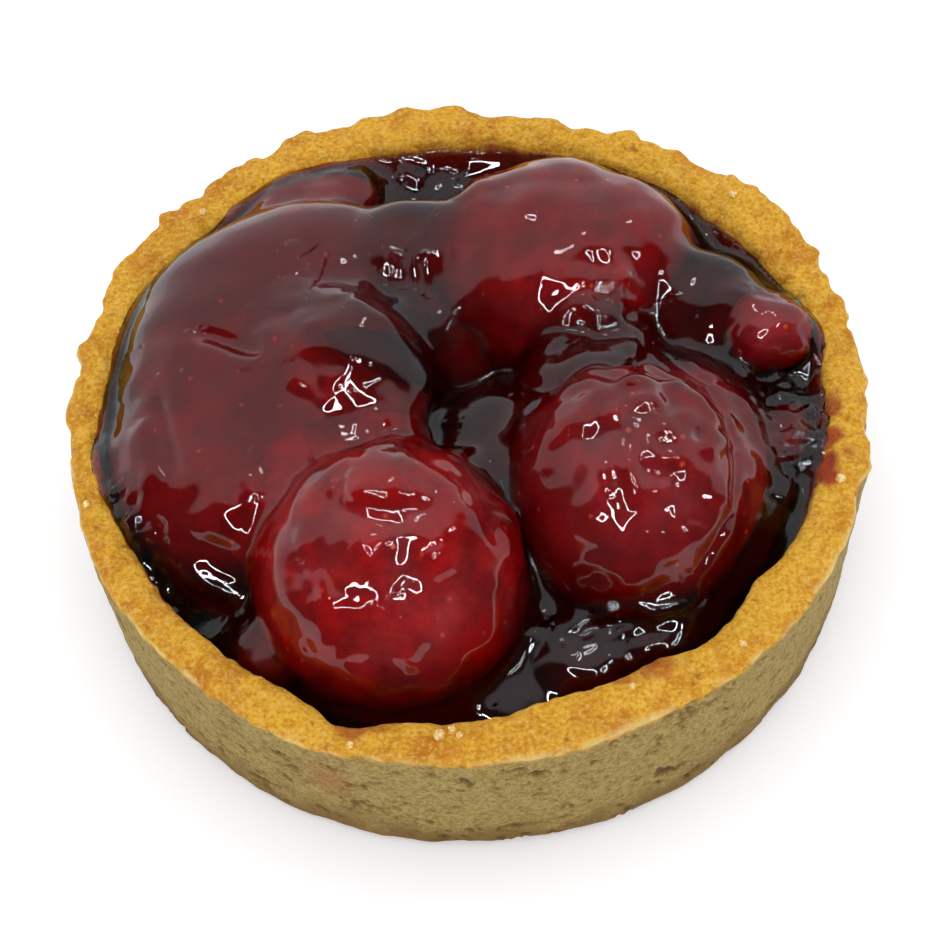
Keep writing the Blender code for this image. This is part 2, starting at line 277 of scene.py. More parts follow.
# Loose crumbs on the rim: place and size
Crumb = namedtuple("Crumb", "x y size")
CRUMBS = (
    Crumb(-4.4, -36.7, 0.55),
    Crumb(-3.3, -36.3, 0.40),
    Crumb(-2.6, -37.0, 0.35),
    Crumb(35.7, -11.9, 0.50),
    Crumb(13.4, -33.4, 0.35),
    Crumb(-37.6, -9.1, 0.40),
    Crumb(-12.6, -37.3, 0.35),
    Crumb(24.0, -29.6, 0.35),
    Crumb(29.5, 24.4, 0.40),
    Crumb(-26.5, 27.4, 0.40),
)

# Colours of the crust
GOLD = (0.72, 0.375, 0.022)
ORANGE_BROWN = (0.50, 0.162, 0.005)
LIGHT_GOLD = (0.82, 0.54, 0.13)
DARK_BROWN = (0.30, 0.095, 0.006)
SIDE_LIGHT = (0.38, 0.280, 0.088)
SIDE_TAN = (0.25, 0.163, 0.034)
SIDE_BROWN = (0.17, 0.085, 0.014)
# The colour for the pits of the side is painted shade; the pits are also dented into the mesh
SIDE_PIT_SHADE = (0.10, 0.050, 0.012)
PALE_CRUMB = (0.78, 0.60, 0.24)
SYRUP_STAIN = (0.30, 0.014, 0.010)
CRUMB_COLOUR = (0.85, 0.66, 0.34)

# Look of the glaze: the tint of light that goes in or out, the colour that is left of it deep
# inside, and how fast the rest is taken up, per metre
GLAZE_TINT = (1.0, 0.93, 0.93, 1.0)
GLAZE_DEPTH_COLOUR = (0.84, 0.02, 0.06, 1.0)
GLAZE_DENSITY = 900.0
GLAZE_ROUGHNESS = 0.03
GLAZE_IOR = 1.45

# Colours of the fruit under its glaze
FLESH_RED = (0.28, 0.004, 0.008)
FLESH_BRIGHT = (0.62, 0.026, 0.024)
FLESH_DEEP = (0.16, 0.002, 0.010)
CORE_RED = (0.26, 0.005, 0.012)
CORE_DARK = (0.055, 0.002, 0.005)
SEED_GOLD = (0.70, 0.22, 0.08)
# How much of FLESH_DEEP each berry has
DEEP_BERRIES = {
    "berry_front": 0.15,
    "berry_left_back": 0.8,
    "berry_left": 0.6,
    "berry_back": 0.4,
    "berry_right": 0.6,
    "berry_right_low": 0.9,
    "small_berry_right": 0.5,
    "small_berry_edge": 1.0,
    "small_berry_front": 1.0,
    "small_berry_back": 0.7,
}

# Studio: how bright it is as light and in reflections, and the dark side where the camera
# stands, which reaches up to these heights and round to these shares of straight ahead.
# A lamp is a ring of light, in degrees: its elevation above the table and azimuth round from
# the viewer, and the ring's radius and width
Lamp = namedtuple("Lamp", "elevation azimuth radius width strength")
STUDIO_WHITE = 1.2
MIRRORED_WHITE = 1.0
STUDIO_TINT = (0.98, 0.99, 1.03, 1.0)
DARK_TOP = (0.95, 0.985)
DARK_FRONT = (0.18, 0.02)
DARK_DEPTH = 0.92
RING_LAMPS = (
    Lamp(55.5, 0.0, 15.0, 2.0, 60.0),
    Lamp(50.0, 55.0, 5.0, 1.6, 40.0),
    Lamp(66.0, 150.0, 3.0, 1.6, 20.0),
)

# Floor: how white it is, and how much of its own light it gives
FLOOR_WHITE = (0.95, 0.95, 0.95, 1.0)
FLOOR_GLOW = 0.15

# Camera, fitted to the photograph: elevation, distance to the target, roll and the target's
# place in the ground plane
CAMERA_ELEVATION = math.radians(55.54)
CAMERA_DISTANCE = 250.0
CAMERA_ROLL = -0.067
CAMERA_TARGET = (-0.023, 5.187, 0.0)
PICTURE_SIDE = 941
PIXELS_PER_MM = 9.277
SENSOR = 36.0


def bumps(points, size, seed):
    """Gradient noise, about -1 to 1, with bumps about size millimetres across."""
    table = np.random.default_rng(seed).normal(size=(32, 32, 32, 3)).astype(np.float32)
    table /= np.linalg.norm(table, axis=3, keepdims=True)
    q = np.asarray(points, np.float32) / np.asarray(size, np.float32)
    cell = np.floor(q).astype(np.int32)
    part = q - cell
    fade = part**3 * (part * (part * 6 - 15) + 10)
    total = np.zeros(len(q), np.float32)
    for corner in range(8):
        offset = np.array([corner & 1, corner >> 1 & 1, corner >> 2 & 1], np.int32)
        at = (cell + offset) & 31
        slope = table[at[:, 0], at[:, 1], at[:, 2]]
        weight = np.prod(np.where(offset, fade, 1 - fade), axis=1)
        total += weight * np.einsum("ij,ij->i", slope, part - offset)
    return total * 1.6


def swell_at(angle, swells):
    """The sum of the swells at these angles, each a smooth bump of its own width."""
    total = np.zeros_like(angle)
    for swell in swells:
        away = (angle - swell.angle + 180.0) % 360.0 - 180.0
        total += swell.depth * np.exp(-((away / swell.width) ** 2))
    return total


def smoothstep(low, high, value):
    share = np.clip((value - low) / (high - low), 0.0, 1.0)
    return share * share * (3 - 2 * share)


def smooth_min(a, b, reach):
    """The smaller of a and b, rounded off where they are within reach of each other."""
    share = np.clip(0.5 + 0.5 * (b - a) / reach, 0.0, 1.0)
    return b * (1 - share) + a * share - reach * share * (1 - share)


def berry_rotation(berry):
    """The berry's own axes as columns: the first runs along it."""
    turn, tilt = math.radians(berry.turn), math.radians(berry.tilt)
    along, across = math.cos(turn), math.sin(turn)
    level, rise = math.cos(tilt), math.sin(tilt)
    rows = ((along * level, -across, -along * rise), (across * level, along, -across * rise))
    return np.array((*rows, (rise, 0.0, level)), np.float32)


def berry_distance(points, berry):
    """About how far the points are outside the berry, in millimetres."""
    local = (points - np.array(berry.centre, np.float32)) @ berry_rotation(berry)
    radii = np.empty_like(local)
    radii[:] = berry.radii
    radii[:, 1:] *= np.clip(1.0 - berry.taper * local[:, :1] / berry.radii[0], 0.5, 1.5)
    scaled = local / radii
    flat = np.hypot(scaled[:, 0], scaled[:, 1])
    size = (flat**berry.square + np.abs(scaled[:, 2]) ** berry.square) ** (1 / berry.square)
    round_size = np.linalg.norm(scaled, axis=1)
    steepness = np.linalg.norm(scaled / radii, axis=1) / np.maximum(round_size, 1e-6)
    return (size - 1.0) / np.maximum(steepness, 1e-6)


def share_up(z):
    """0 at the floor and below it, 1 at the rim."""
    return np.clip((z - FLOOR_THICKNESS) / (SHELL_HEIGHT - FLOOR_THICKNESS), 0.0, 1.0)


def inner_wall(angle, z):
    """The radius of the shell's inner wall at these angles and heights."""
    radius = np.interp(z, INNER_WALL_HEIGHTS, INNER_WALL_RADII)
    return radius + share_up(z) * swell_at(angle, INNER_SWELLS)


def pool_height(x, y):
    """The glaze's level: low in the pools, high on the mounds, drawn up at the shell, but
    sunk along its front."""
    mounds = np.zeros_like(x)
    for mound in MOUNDS:
        away = ((x - mound.x) ** 2 + (y - mound.y) ** 2) / mound.spread**2
        mounds += (mound.height * np.exp(-(away**2))) ** MOUND_BLEND
    angle = np.degrees(np.arctan2(y, x))
    wall = inner_wall(angle, np.full_like(x, POOL_WALL_HEIGHT))
    room = np.maximum(wall - np.hypot(x, y), 0.0)
    mounds = mounds ** (1 / MOUND_BLEND)
    front = smoothstep(0.25, 0.75, -y / np.maximum(np.hypot(x, y), 1.0))
    creep = WALL_CREEP - (WALL_CREEP + FRONT_DIP) * front
    return JELLY_LEVEL + mounds + creep * np.exp(-room / WALL_CREEP_REACH)


def fold_height(points):
    """How far the folds, creases and lumps lift or sink the surface at these points."""
    total = np.zeros(len(points), np.float32)
    axis = np.array(FOLD_AXIS, np.float32)
    for fold in FOLDS:
        start = np.array(fold.start, np.float32)
        line = np.array(fold.end, np.float32) - start
        close = np.nonzero(np.abs(points - start - line / 2).max(axis=1) < FOLD_REACH)[0]
        away = points[close] - start
        share = np.clip(away @ line / (line @ line), 0.0, 1.0)
        away -= share[:, None] * line
        away -= (1.0 - FOLD_DEPTH_SHARE) * (away @ axis)[:, None] * axis
        taper = 1.0 - (2 * share - 1.0) ** 4
        distance = (away**2).sum(axis=1) / fold.width**2
        total[close] += fold.height * (0.25 + 0.75 * taper) * np.exp(-distance)
    for number, patch in enumerate(PATCHES):
        away = ((points - np.array(patch.centre, np.float32)) ** 2).sum(axis=1)
        close = np.nonzero(away < (1.4 * patch.radius) ** 2)[0]
        share = np.exp(-((away[close] / patch.radius**2) ** 2))
        total[close] += patch.height * share * bumps(points[close], patch.size, number + 60)
    return total


def berries_field(points, detail):
    """Below zero inside the berries with their glaze on."""
    nearest = None
    for number, berry in enumerate((*BERRIES, *SHOULDERS)):
        away = berry_distance(points, berry)
        if detail:
            close = np.nonzero(away < LUMP_REACH)[0]
            spots = points[close]
            away[close] -= berry.lump * bumps(spots, berry.lump_size, number + 1)
            away[close] -= 0.3 * berry.lump * bumps(spots, berry.lump_size * 0.45, number + 31)
        nearest = away if nearest is None else smooth_min(nearest, away, berry.join)
    return nearest


def glaze_field(points, detail):
    """Below zero inside the glaze and what it covers."""
    x, y, z = points[:, 0], points[:, 1], points[:, 2]
    nearest = berries_field(points, detail)
    pool = (z - pool_height(x, y)) * POOL_SLOPE
    if detail:
        pool = pool - POOL_LUMP * bumps(points, POOL_LUMP_SIZE, 90)
    field = smooth_min(nearest, pool, POOL_JOIN)
    if detail:
        field = field - fold_height(points)
    angle = np.degrees(np.arctan2(y, x))
    wall = np.hypot(x, y) - inner_wall(angle, z) - WALL_SEAT
    return np.maximum(np.maximum(field, wall), FLOOR_THICKNESS - FLOOR_SEAT - z)


def surface_net(field, low, high, step, band):
    """A quad mesh where field(points, detail) is zero. The field is read with its detail only
    where it is within the band of zero."""
    axes = [np.arange(a, b, step, dtype=np.float32) for a, b in zip(low, high)]
    shape = tuple(len(axis) for axis in axes)
    grid = np.stack(np.meshgrid(*axes, indexing="ij"), axis=-1).reshape(-1, 3)
    values = np.concatenate([field(part, False) for part in np.array_split(grid, 16)])
    near = np.nonzero(np.abs(values) < band)[0]
    values[near] = field(grid[near], True)
    values = values.reshape(shape)
    inside = values < 0
    cells = tuple(size - 1 for size in shape)
    count = np.zeros(cells, np.int8)
    corners = [(i, j, k) for i in (0, 1) for j in (0, 1) for k in (0, 1)]

    def corner_part(array, corner):
        return array[tuple(slice(c, c + n) for c, n in zip(corner, cells))]

    for corner in corners:
        count += corner_part(inside, corner)
    active = np.argwhere((count > 0) & (count < 8))
    index = np.full(cells, -1, np.int32)
    index[tuple(active.T)] = np.arange(len(active))
    total = np.zeros((len(active), 3))
    crossings = np.zeros(len(active))
    for start in corners:
        for axis in range(3):
            if start[axis]:
                continue
            end = tuple(c + (n == axis) for n, c in enumerate(start))
            a = values[tuple((active + start).T)]
            b = values[tuple((active + end).T)]
            cross = (a < 0) != (b < 0)
            share = np.where(cross, a / np.where(cross, a - b, 1.0), 0.0)
            spot = np.tile(np.array(start, float), (len(active), 1))
            spot[:, axis] += share
            total[cross] += spot[cross]
            crossings += cross
    points = (active + total / crossings[:, None]) * step + np.array(low)
    faces = []
    for axis in range(3):
        first, second = (axis + 1) % 3, (axis + 2) % 3
        here = [slice(0, n) for n in cells]
        here[first] = slice(1, cells[first])
        here[second] = slice(1, cells[second])
        after = list(here)
        after[axis] = slice(1, cells[axis] + 1)
        changes = inside[tuple(here)] != inside[tuple(after)]
        spots = np.argwhere(changes)
        spots[:, first] += 1
        spots[:, second] += 1
        outward = inside[tuple(spots.T)]
        quad = []
        for back in ((0, 0), (1, 0), (1, 1), (0, 1)):
            cell = spots.copy()
            cell[:, first] -= back[0]
            cell[:, second] -= back[1]
            quad.append(index[tuple(cell.T)])
        quad = np.stack(quad, axis=1)
        quad[~outward] = quad[~outward][:, ::-1]
        faces.append(quad)
    return points.astype(np.float32), np.concatenate(faces)


def slope_of(field, points, detail):
    """The field's slope at these points."""
    slope = np.empty_like(points)
    for axis in range(3):
        nudge = np.zeros(3, np.float32)
        nudge[axis] = SLOPE_NUDGE
        rise = field(points + nudge, detail) - field(points - nudge, detail)
        slope[:, axis] = rise / (2 * SLOPE_NUDGE)
    return slope


def settle(points, field, step):
    """Moves points onto the surface where the field is zero."""
    for _ in range(3):
        value = field(points, True)
        slope = slope_of(field, points, False)
        size = np.maximum((slope**2).sum(axis=1), 0.1)
        move = -slope * (value / size)[:, None]
        length = np.linalg.norm(move, axis=1, keepdims=True)
        points = points + move * np.minimum(1.0, 0.4 * step / np.maximum(length, 1e-6))
    return points


def mesh_object(name, points, faces):
    """A smooth mesh object from points in millimetres."""
    mesh = bpy.data.meshes.new(name)
    sides = faces.shape[1]
    mesh.vertices.add(len(points))
    mesh.vertices.foreach_set("co", (np.asarray(points, np.float32) * MM).ravel())
    mesh.loops.add(faces.size)
    mesh.loops.foreach_set("vertex_index", faces.astype(np.int32).ravel())
    mesh.polygons.add(len(faces))
    mesh.polygons.foreach_set("loop_start", np.arange(0, faces.size, sides, dtype=np.int32))
    mesh.update(calc_edges=True)
    mesh.validate()
    mesh.shade_smooth()
    obj = bpy.data.objects.new(name, mesh)
    bpy.context.scene.collection.objects.link(obj)
    return obj


def add_attribute(obj, name, values):
    attribute = obj.data.attributes.new(name, "FLOAT", "POINT")
    attribute.data.foreach_set("value", np.asarray(values, np.float32))


def new_material(name):
    material = bpy.data.materials.new(name)
    material.use_nodes = True
    return material, material.node_tree, material.node_tree.nodes["Principled BSDF"]


def glaze_material():
    material, tree, shader = new_material("glaze")
    shader.inputs["Base Color"].default_value = GLAZE_TINT
    shader.inputs["Roughness"].default_value = GLAZE_ROUGHNESS
    shader.inputs["IOR"].default_value = GLAZE_IOR
    shader.inputs["Transmission Weight"].default_value = 1.0
    absorb = tree.nodes.new("ShaderNodeVolumeAbsorption")
    absorb.inputs["Color"].default_value = GLAZE_DEPTH_COLOUR
    absorb.inputs["Density"].default_value = GLAZE_DENSITY
    output = tree.nodes["Material Output"]
    tree.links.new(absorb.outputs["Volume"], output.inputs["Volume"])
    return material


def attribute_node(tree, name):
    node = tree.nodes.new("ShaderNodeAttribute")
    node.attribute_name = name
    return node.outputs["Fac"]


def math_node(tree, operation, first, second=None):
    """A Math node over numbers or the outputs of nodes."""
    node = tree.nodes.new("ShaderNodeMath")
    node.operation = operation
    for socket, value in zip(node.inputs, (first, second)):
        if isinstance(value, bpy.types.NodeSocket):
            tree.links.new(value, socket)
        elif value is not None:
            socket.default_value = value
    return node.outputs[0]


def mix_colour(tree, factor, first, second):
    """A colour between two, each a colour or the output of a node."""
    node = tree.nodes.new("ShaderNodeMix")
    node.data_type = "RGBA"
    sockets = (node.inputs[0], node.inputs[6], node.inputs[7])
    for socket, value in zip(sockets, (factor, first, second)):
        if isinstance(value, bpy.types.NodeSocket):
            tree.links.new(value, socket)
        elif isinstance(value, tuple):
            socket.default_value = (*value, 1.0)
        else:
            socket.default_value = value
    return node.outputs[2]


def object_space(tree):
    return tree.nodes.new("ShaderNodeTexCoord").outputs["Object"]


def noise_node(tree, scale, detail, roughness=0.5):
    node = tree.nodes.new("ShaderNodeTexNoise")
    node.inputs["Scale"].default_value = scale
    node.inputs["Detail"].default_value = detail
    node.inputs["Roughness"].default_value = roughness
    tree.links.new(object_space(tree), node.inputs["Vector"])
    return node.outputs["Fac"]


def spread(tree, value, low, high, interpolation="LINEAR"):
    """The value stretched so that low to high becomes 0 to 1."""
    node = tree.nodes.new("ShaderNodeMapRange")
    node.interpolation_type = interpolation
    node.inputs["From Min"].default_value = low
    node.inputs["From Max"].default_value = high
    tree.links.new(value, node.inputs["Value"])
    return node.outputs["Result"]


def berry_material():
    """Red flesh, streaked and speckled with seeds. Each berry says how deep its red is."""
    material, tree, shader = new_material("strawberry")
    patches = spread(tree, noise_node(tree, 240.0, 5.0, 0.6), 0.38, 0.62)
    bright = mix_colour(tree, patches, FLESH_RED, FLESH_BRIGHT)
    colour = mix_colour(tree, attribute_node(tree, "deep"), bright, FLESH_DEEP)
    cells = tree.nodes.new("ShaderNodeTexVoronoi")
    cells.inputs["Scale"].default_value = 400.0
    tree.links.new(object_space(tree), cells.inputs["Vector"])
    seed = spread(tree, cells.outputs["Distance"], 0.13, 0.05)
    colour = mix_colour(tree, seed, colour, SEED_GOLD)
    tree.links.new(colour, shader.inputs["Base Color"])
    shader.inputs["Roughness"].default_value = 0.5
    return material


def crumb_node(tree, scale):
    """A random value for each of many small uneven crumbs."""
    own_space = object_space(tree)
    wobble = tree.nodes.new("ShaderNodeTexNoise")
    wobble.inputs["Scale"].default_value = 1.2 * scale
    tree.links.new(own_space, wobble.inputs["Vector"])
    place = tree.nodes.new("ShaderNodeVectorMath")
    place.operation = "MULTIPLY_ADD"
    place.inputs[1].default_value = (1.2 / scale,) * 3
    tree.links.new(wobble.outputs["Color"], place.inputs[0])
    tree.links.new(own_space, place.inputs[2])
    cells = tree.nodes.new("ShaderNodeTexVoronoi")
    cells.inputs["Scale"].default_value = scale
    tree.links.new(place.outputs["Vector"], cells.inputs["Vector"])
    parts = tree.nodes.new("ShaderNodeSeparateColor")
    tree.links.new(cells.outputs["Color"], parts.inputs["Color"])
    return parts.outputs["Red"]


def crust_material():
    """Baked pastry: golden and mottled on top, grey tan and sandy on the side."""
    material, tree, shader = new_material("crust")
    grain = noise_node(tree, 2400.0, 4.0, 0.65)
    coarse = noise_node(tree, 700.0, 4.0, 0.6)
    crumbs = crumb_node(tree, 1900.0)
    sand = crumb_node(tree, 3300.0)
    golden = mix_colour(tree, attribute_node(tree, "brown"), GOLD, ORANGE_BROWN)
    golden = mix_colour(tree, spread(tree, grain, 0.50, 0.80), golden, LIGHT_GOLD)
    golden = mix_colour(tree, spread(tree, grain, 0.50, 0.28), golden, ORANGE_BROWN)
    golden = mix_colour(tree, spread(tree, crumbs, 0.75, 1.6), golden, LIGHT_GOLD)
    golden = mix_colour(tree, spread(tree, coarse, 0.38, 0.24), golden, DARK_BROWN)
    side = mix_colour(tree, spread(tree, sand, 0.0, 0.9), SIDE_TAN, SIDE_LIGHT)
    side = mix_colour(tree, spread(tree, grain, 0.46, 0.26), side, SIDE_BROWN)
    side = mix_colour(tree, spread(tree, coarse, 0.42, 0.30), side, SIDE_BROWN)
    side = mix_colour(tree, attribute_node(tree, "low"), side, SIDE_BROWN)
    # Painted shade in the pits of the side, darker where a pit is deeper
    side = mix_colour(tree, attribute_node(tree, "pit"), side, SIDE_PIT_SHADE)
    colour = mix_colour(tree, attribute_node(tree, "golden"), side, golden)
    colour = mix_colour(tree, attribute_node(tree, "pale"), colour, PALE_CRUMB)
    colour = mix_colour(tree, attribute_node(tree, "stain"), colour, SYRUP_STAIN)
    tree.links.new(colour, shader.inputs["Base Color"])
    shader.inputs["Roughness"].default_value = 0.8
    shader.inputs["Specular IOR Level"].default_value = 0.25
    bump = tree.nodes.new("ShaderNodeBump")
    bump.inputs["Strength"].default_value = 0.7
    bump.inputs["Distance"].default_value = 0.0004
    height = math_node(tree, "ADD", grain, math_node(tree, "MULTIPLY", coarse, 2.0))
    height = math_node(tree, "ADD", height, math_node(tree, "MULTIPLY", sand, 0.25))
    tree.links.new(height, bump.inputs["Height"])
    tree.links.new(bump.outputs["Normal"], shader.inputs["Normal"])
    return material


def shell_profile():
    """Radius and height, from the middle of the floor over the rim to the middle of the
    base, as the solid has them."""
    top = SHELL_HEIGHT
    points = [(0.0, FLOOR_THICKNESS), (16.0, FLOOR_THICKNESS), (32.0, FLOOR_THICKNESS)]
    points += [(INNER_FLOOR_RADIUS, FLOOR_THICKNESS + 1.2), (INNER_RADIUS, top - 1.4)]
    points += [(INNER_RADIUS + 0.4, top - 0.5), (INNER_RADIUS + INNER_EDGE, top - 0.05)]
    points += [(INNER_RADIUS + 2.4, top), (RIM_RADIUS - 1.2, top)]
    points += [(RIM_RADIUS - 0.35, top - 0.1), (RIM_RADIUS, top - RIM_EDGE)]
    points += [(BASE_RADIUS, BASE_BEVEL), (BASE_RADIUS - BASE_BEVEL, 0.0)]
    points += [(30.0, 0.0), (15.0, 0.0), (0.0, 0.0)]
    return points


def fine_profile():
    """The profile's points, close together where the crust shows, with their outward
    directions."""
    corners = np.array(shell_profile())
    rows = []
    for start, end in zip(corners, corners[1:]):
        hidden = start[0] < INNER_RADIUS - 0.1 and end[0] < INNER_RADIUS + 0.1
        base = end[1] < 0.01 and start[1] < 0.01
        step = CRUST_STEP * (HIDDEN_STEPS if hidden else BASE_STEPS if base else 1)
        count = max(1, round(np.linalg.norm(end - start) / step))
        rows += [start + (end - start) * n / count for n in range(count)]
    rows.append(corners[-1])
    rows = np.array(rows)
    along = np.gradient(rows, axis=0)
    along /= np.linalg.norm(along, axis=1, keepdims=True)
    outward = np.stack([-along[:, 1], along[:, 0]], axis=1)
    return rows[1:-1], outward[1:-1]


def relief(x, y, z, size, seed):
    """The same slow noise that shapes the solid shell."""
    points = zip(x / size + seed, y / size - seed, z / size + 2 * seed)
    return np.array([noise.noise(Vector(point)) for point in points])


def knobs_at(angle):
    """Saw teeth round the rim, each steeper on its side towards the front."""
    total = np.zeros_like(angle)
    for place in KNOB_ANGLES:
        away = (angle - place + 180.0) % 360.0 - 180.0
        front = away if 90.0 < place < 270.0 else -away
        width = np.where(front > 0.0, KNOB_STEEP, KNOB_GENTLE)
        total += np.exp(-((away / width) ** 2))
    return total


def on_inner_side(radius, z):
    return (radius < RIM_RADIUS - 2.0) & (z > FLOOR_THICKNESS + 1.0)


def crust_forms(x, y, z, angle, radius):
    """How far the crust's points shift outwards and lift by its swells, crags, knobs and
    flakes."""
    near_rim = share_up(z) ** 3
    edge = INNER_RADIUS + INNER_EDGE
    outside = np.clip((radius - edge) / (RIM_RADIUS - edge), 0.0, 1.0)
    crag = 0.4 * relief(x, y, 0 * z, 3.2, 9.0)
    shift = outside * near_rim * swell_at(angle, OUTER_SWELLS)
    shift += (1 - outside) * share_up(z) * swell_at(angle, INNER_SWELLS)
    shift += near_rim * crag
    lift = near_rim * (0.5 * relief(x, y, 0 * z, 12.0, 5.0) + crag)

    # knobs along the outer edge, larger at the back
    spots = np.stack([x, y, 0 * z], axis=1)
    back = KNOB_FRONT_SHARE + (1.0 - KNOB_FRONT_SHARE) * smoothstep(-15.0, 15.0, y)
    knob = KNOB_HEIGHT * knobs_at(angle) - 0.2 + 0.35 * bumps(spots, 2.4, 213)
    edge_share = smoothstep(16.5, 18.8, z) * smoothstep(37.6, 39.6, radius)
    shift += back * edge_share * knob
    lift += back * edge_share * 0.25 * bumps(spots, 2.0, 202)
    for step in STEPS:
        away = np.hypot(x - step.x, y - step.y) + 0.5 * bumps(spots, 1.8, 220)
        raised = step.height * smoothstep(step.size + 0.4, step.size - 0.4, away) * near_rim
        lift += raised
        shift += 0.8 * raised * outside
    return shift, lift


def crust_grain(x, y, z, turn, radius):
    """How far the crust's points are pushed out by its grain, and how deep in a pit of the
    side they are, from 0 to 1."""
    points = np.stack([x, y, z], axis=1)
    flat = np.stack([radius * turn, radius, z], axis=1)
    top = np.where(on_inner_side(radius, z), 1.0, smoothstep(18.3, 19.0, z))
    grain = 0.16 * bumps(points, 1.5, 203) + 0.09 * bumps(points, 0.8, 204)
    dents = np.minimum(0.0, 0.15 - np.abs(bumps(points, 3.0, 205)))
    side_wave = 0.16 * bumps(flat * (0.6, 1.0, 1.0), 2.4, 206)
    ragged = 0.45 * bumps(flat, 0.7, 214)
    pores = smoothstep(0.50, 0.66, bumps(flat * (0.6, 1.0, 1.0), 0.9, 207) + 0.5 * ragged)
    crowd = smoothstep(-0.1, 0.5, bumps(flat, 9.0, 215))
    large = smoothstep(0.38, 0.54, bumps(flat * (0.45, 1.0, 1.0), 1.7, 208) + ragged) * crowd
    # How deep in a pit: it dents the side and also sets the painted shade in the pits
    pit = np.clip(0.7 * pores + large, 0.0, 1.0) * (1 - top)
    push = top * (grain + 0.5 * dents) + (1 - top) * (side_wave + 0.4 * grain - 0.38 * pit)
    return push, pit


def crust_looks(points, x, y, z, radius):
    """Where the crust is brown, golden, dark at the foot, pale or stained, from 0 to 1."""
    inner = on_inner_side(radius, z)
    brown = 0.02 + 0.65 * bumps(points, 4.5, 209) + 0.55 * bumps(points, 1.5, 210)
    brown += 0.35 * bumps(points, 11.0, 221)
    brown += 0.25 * bumps(points, 0.8, 219) + 0.25 * smoothstep(36.5, 39.5, radius)
    wobble = 0.5 * bumps(points, 1.2, 211)
    golden = np.where(inner, 1.0, smoothstep(18.0, 18.9, z + wobble))
    line = np.exp(-(((z - 18.8 + 0.4 * wobble) / 0.2) ** 2)) * (radius > 38.5)
    line *= smoothstep(-0.3, 0.4, bumps(points, 2.5, 216))
    low = smoothstep(7.0, 0.5, z + 3.0 * bumps(points, 4.0, 217)) * (radius > 37.0)
    stain = smoothstep(18.3, 17.6, z + 0.4 * bumps(points, 2.0, 212)) * inner
    for soak in SOAKS:
        away = np.sqrt((x - soak.x) ** 2 + (y - soak.y) ** 2 + (z - soak.z) ** 2)
        patch = smoothstep(1.0, 0.4, away / soak.size + 0.5 * bumps(points, 1.6, 218))
        stain = np.maximum(stain, soak.strength * patch)
    return {
        "brown": np.clip(brown, 0, 1),
        "golden": golden,
        "low": 0.85 * low,
        "pale": np.clip(line * (y < 10), 0, 1) * 0.8,
        "stain": 0.9 * stain,
    }


def make_crust():
    """The pastry shell: the solid's profile all round, with its forms, grain and colours."""
    rows, outward = fine_profile()
    count = len(rows)
    angle = np.repeat(np.arange(CRUST_AROUND) * 360.0 / CRUST_AROUND, count)
    radius, z = np.tile(rows, (CRUST_AROUND, 1)).T
    out_r, out_z = np.tile(outward, (CRUST_AROUND, 1)).T
    turn = np.radians(angle)
    x, y = radius * np.cos(turn), radius * np.sin(turn)

    movable = (radius > INNER_FLOOR_RADIUS - 0.5) & (z > 0.01)
    shift, lift = crust_forms(x, y, z, angle, radius)
    push, pit = crust_grain(x, y, z, turn, radius)
    push = np.where(movable, push, 0.0)
    scale = np.where(movable, (radius + shift + push * out_r) / np.maximum(radius, 1e-6), 1.0)
    height = z + np.where(movable, lift, 0.0) + push * out_z
    points = np.stack([x * scale, y * scale, height], axis=1)

    index = np.arange(CRUST_AROUND * count).reshape(CRUST_AROUND, count)
    after = np.roll(index, -1, axis=0)
    faces = np.stack([index[:, :-1], after[:, :-1], after[:, 1:], index[:, 1:]], axis=-1)
    crust = mesh_object("crust_shell", points, faces.reshape(-1, 4))
    close_ends(crust, index)
    middles = np.zeros(len(crust.data.vertices) - len(points))
    for name, values in {**crust_looks(points, x, y, z, radius), "pit": pit}.items():
        add_attribute(crust, name, np.concatenate([values, middles]))
    crust.data.materials.append(crust_material())
    return crust


def make_crumbs(crust):
    """Loose pale crumbs that lie on the rim."""
    shell = np.empty(3 * len(crust.data.vertices))
    crust.data.vertices.foreach_get("co", shell)
    shell = shell.reshape(-1, 3) / MM
    shell = shell[shell[:, 2] > SHELL_HEIGHT - 2.0]
    shape = bmesh.new()
    for number, crumb in enumerate(CRUMBS):
        away = np.hypot(shell[:, 0] - crumb.x, shell[:, 1] - crumb.y)
        height = shell[away < 0.5, 2].max()
        place = Matrix.Translation(Vector((crumb.x, crumb.y, height)) * MM)
        made = bmesh.ops.create_icosphere(shape, subdivisions=3, radius=1.0, matrix=place)
        for vertex in made["verts"]:
            out = vertex.co - place.translation
            uneven = 1.0 + 0.45 * noise.noise(out * 1.6 + Vector((number * 3.0, 0, 0)))
            vertex.co = place.translation + out * uneven * crumb.size * MM
    mesh = bpy.data.meshes.new("crumbs")
    shape.to_mesh(mesh)
    shape.free()
    mesh.shade_smooth()
    crumbs = bpy.data.objects.new("crumbs", mesh)
    bpy.context.scene.collection.objects.link(crumbs)
    material, tree, shader = new_material("crumbs")
    speckle = noise_node(tree, 3500.0, 3.0)
    colour = mix_colour(tree, spread(tree, speckle, 0.62, 0.35), CRUMB_COLOUR, GOLD)
    tree.links.new(colour, shader.inputs["Base Color"])
    shader.inputs["Roughness"].default_value = 0.45
    mesh.materials.append(material)
    return crumbs


def close_ends(obj, index):
    """Closes the floor and the base with fans of triangles."""
    shape = bmesh.new()
    shape.from_mesh(obj.data)
    shape.verts.ensure_lookup_table()
    for row, height in ((0, FLOOR_THICKNESS), (-1, 0.0)):
        middle = shape.verts.new((0.0, 0.0, height * MM))
        shape.verts.ensure_lookup_table()
        ring = [shape.verts[number] for number in index[:, row]]
        for first, second in zip(ring, ring[1:] + ring[:1]):
            corners = (first, second, middle) if row == 0 else (second, first, middle)
            shape.faces.new(corners).smooth = True
    bmesh.ops.recalc_face_normals(shape, faces=shape.faces)
    shape.to_mesh(obj.data)
    shape.free()


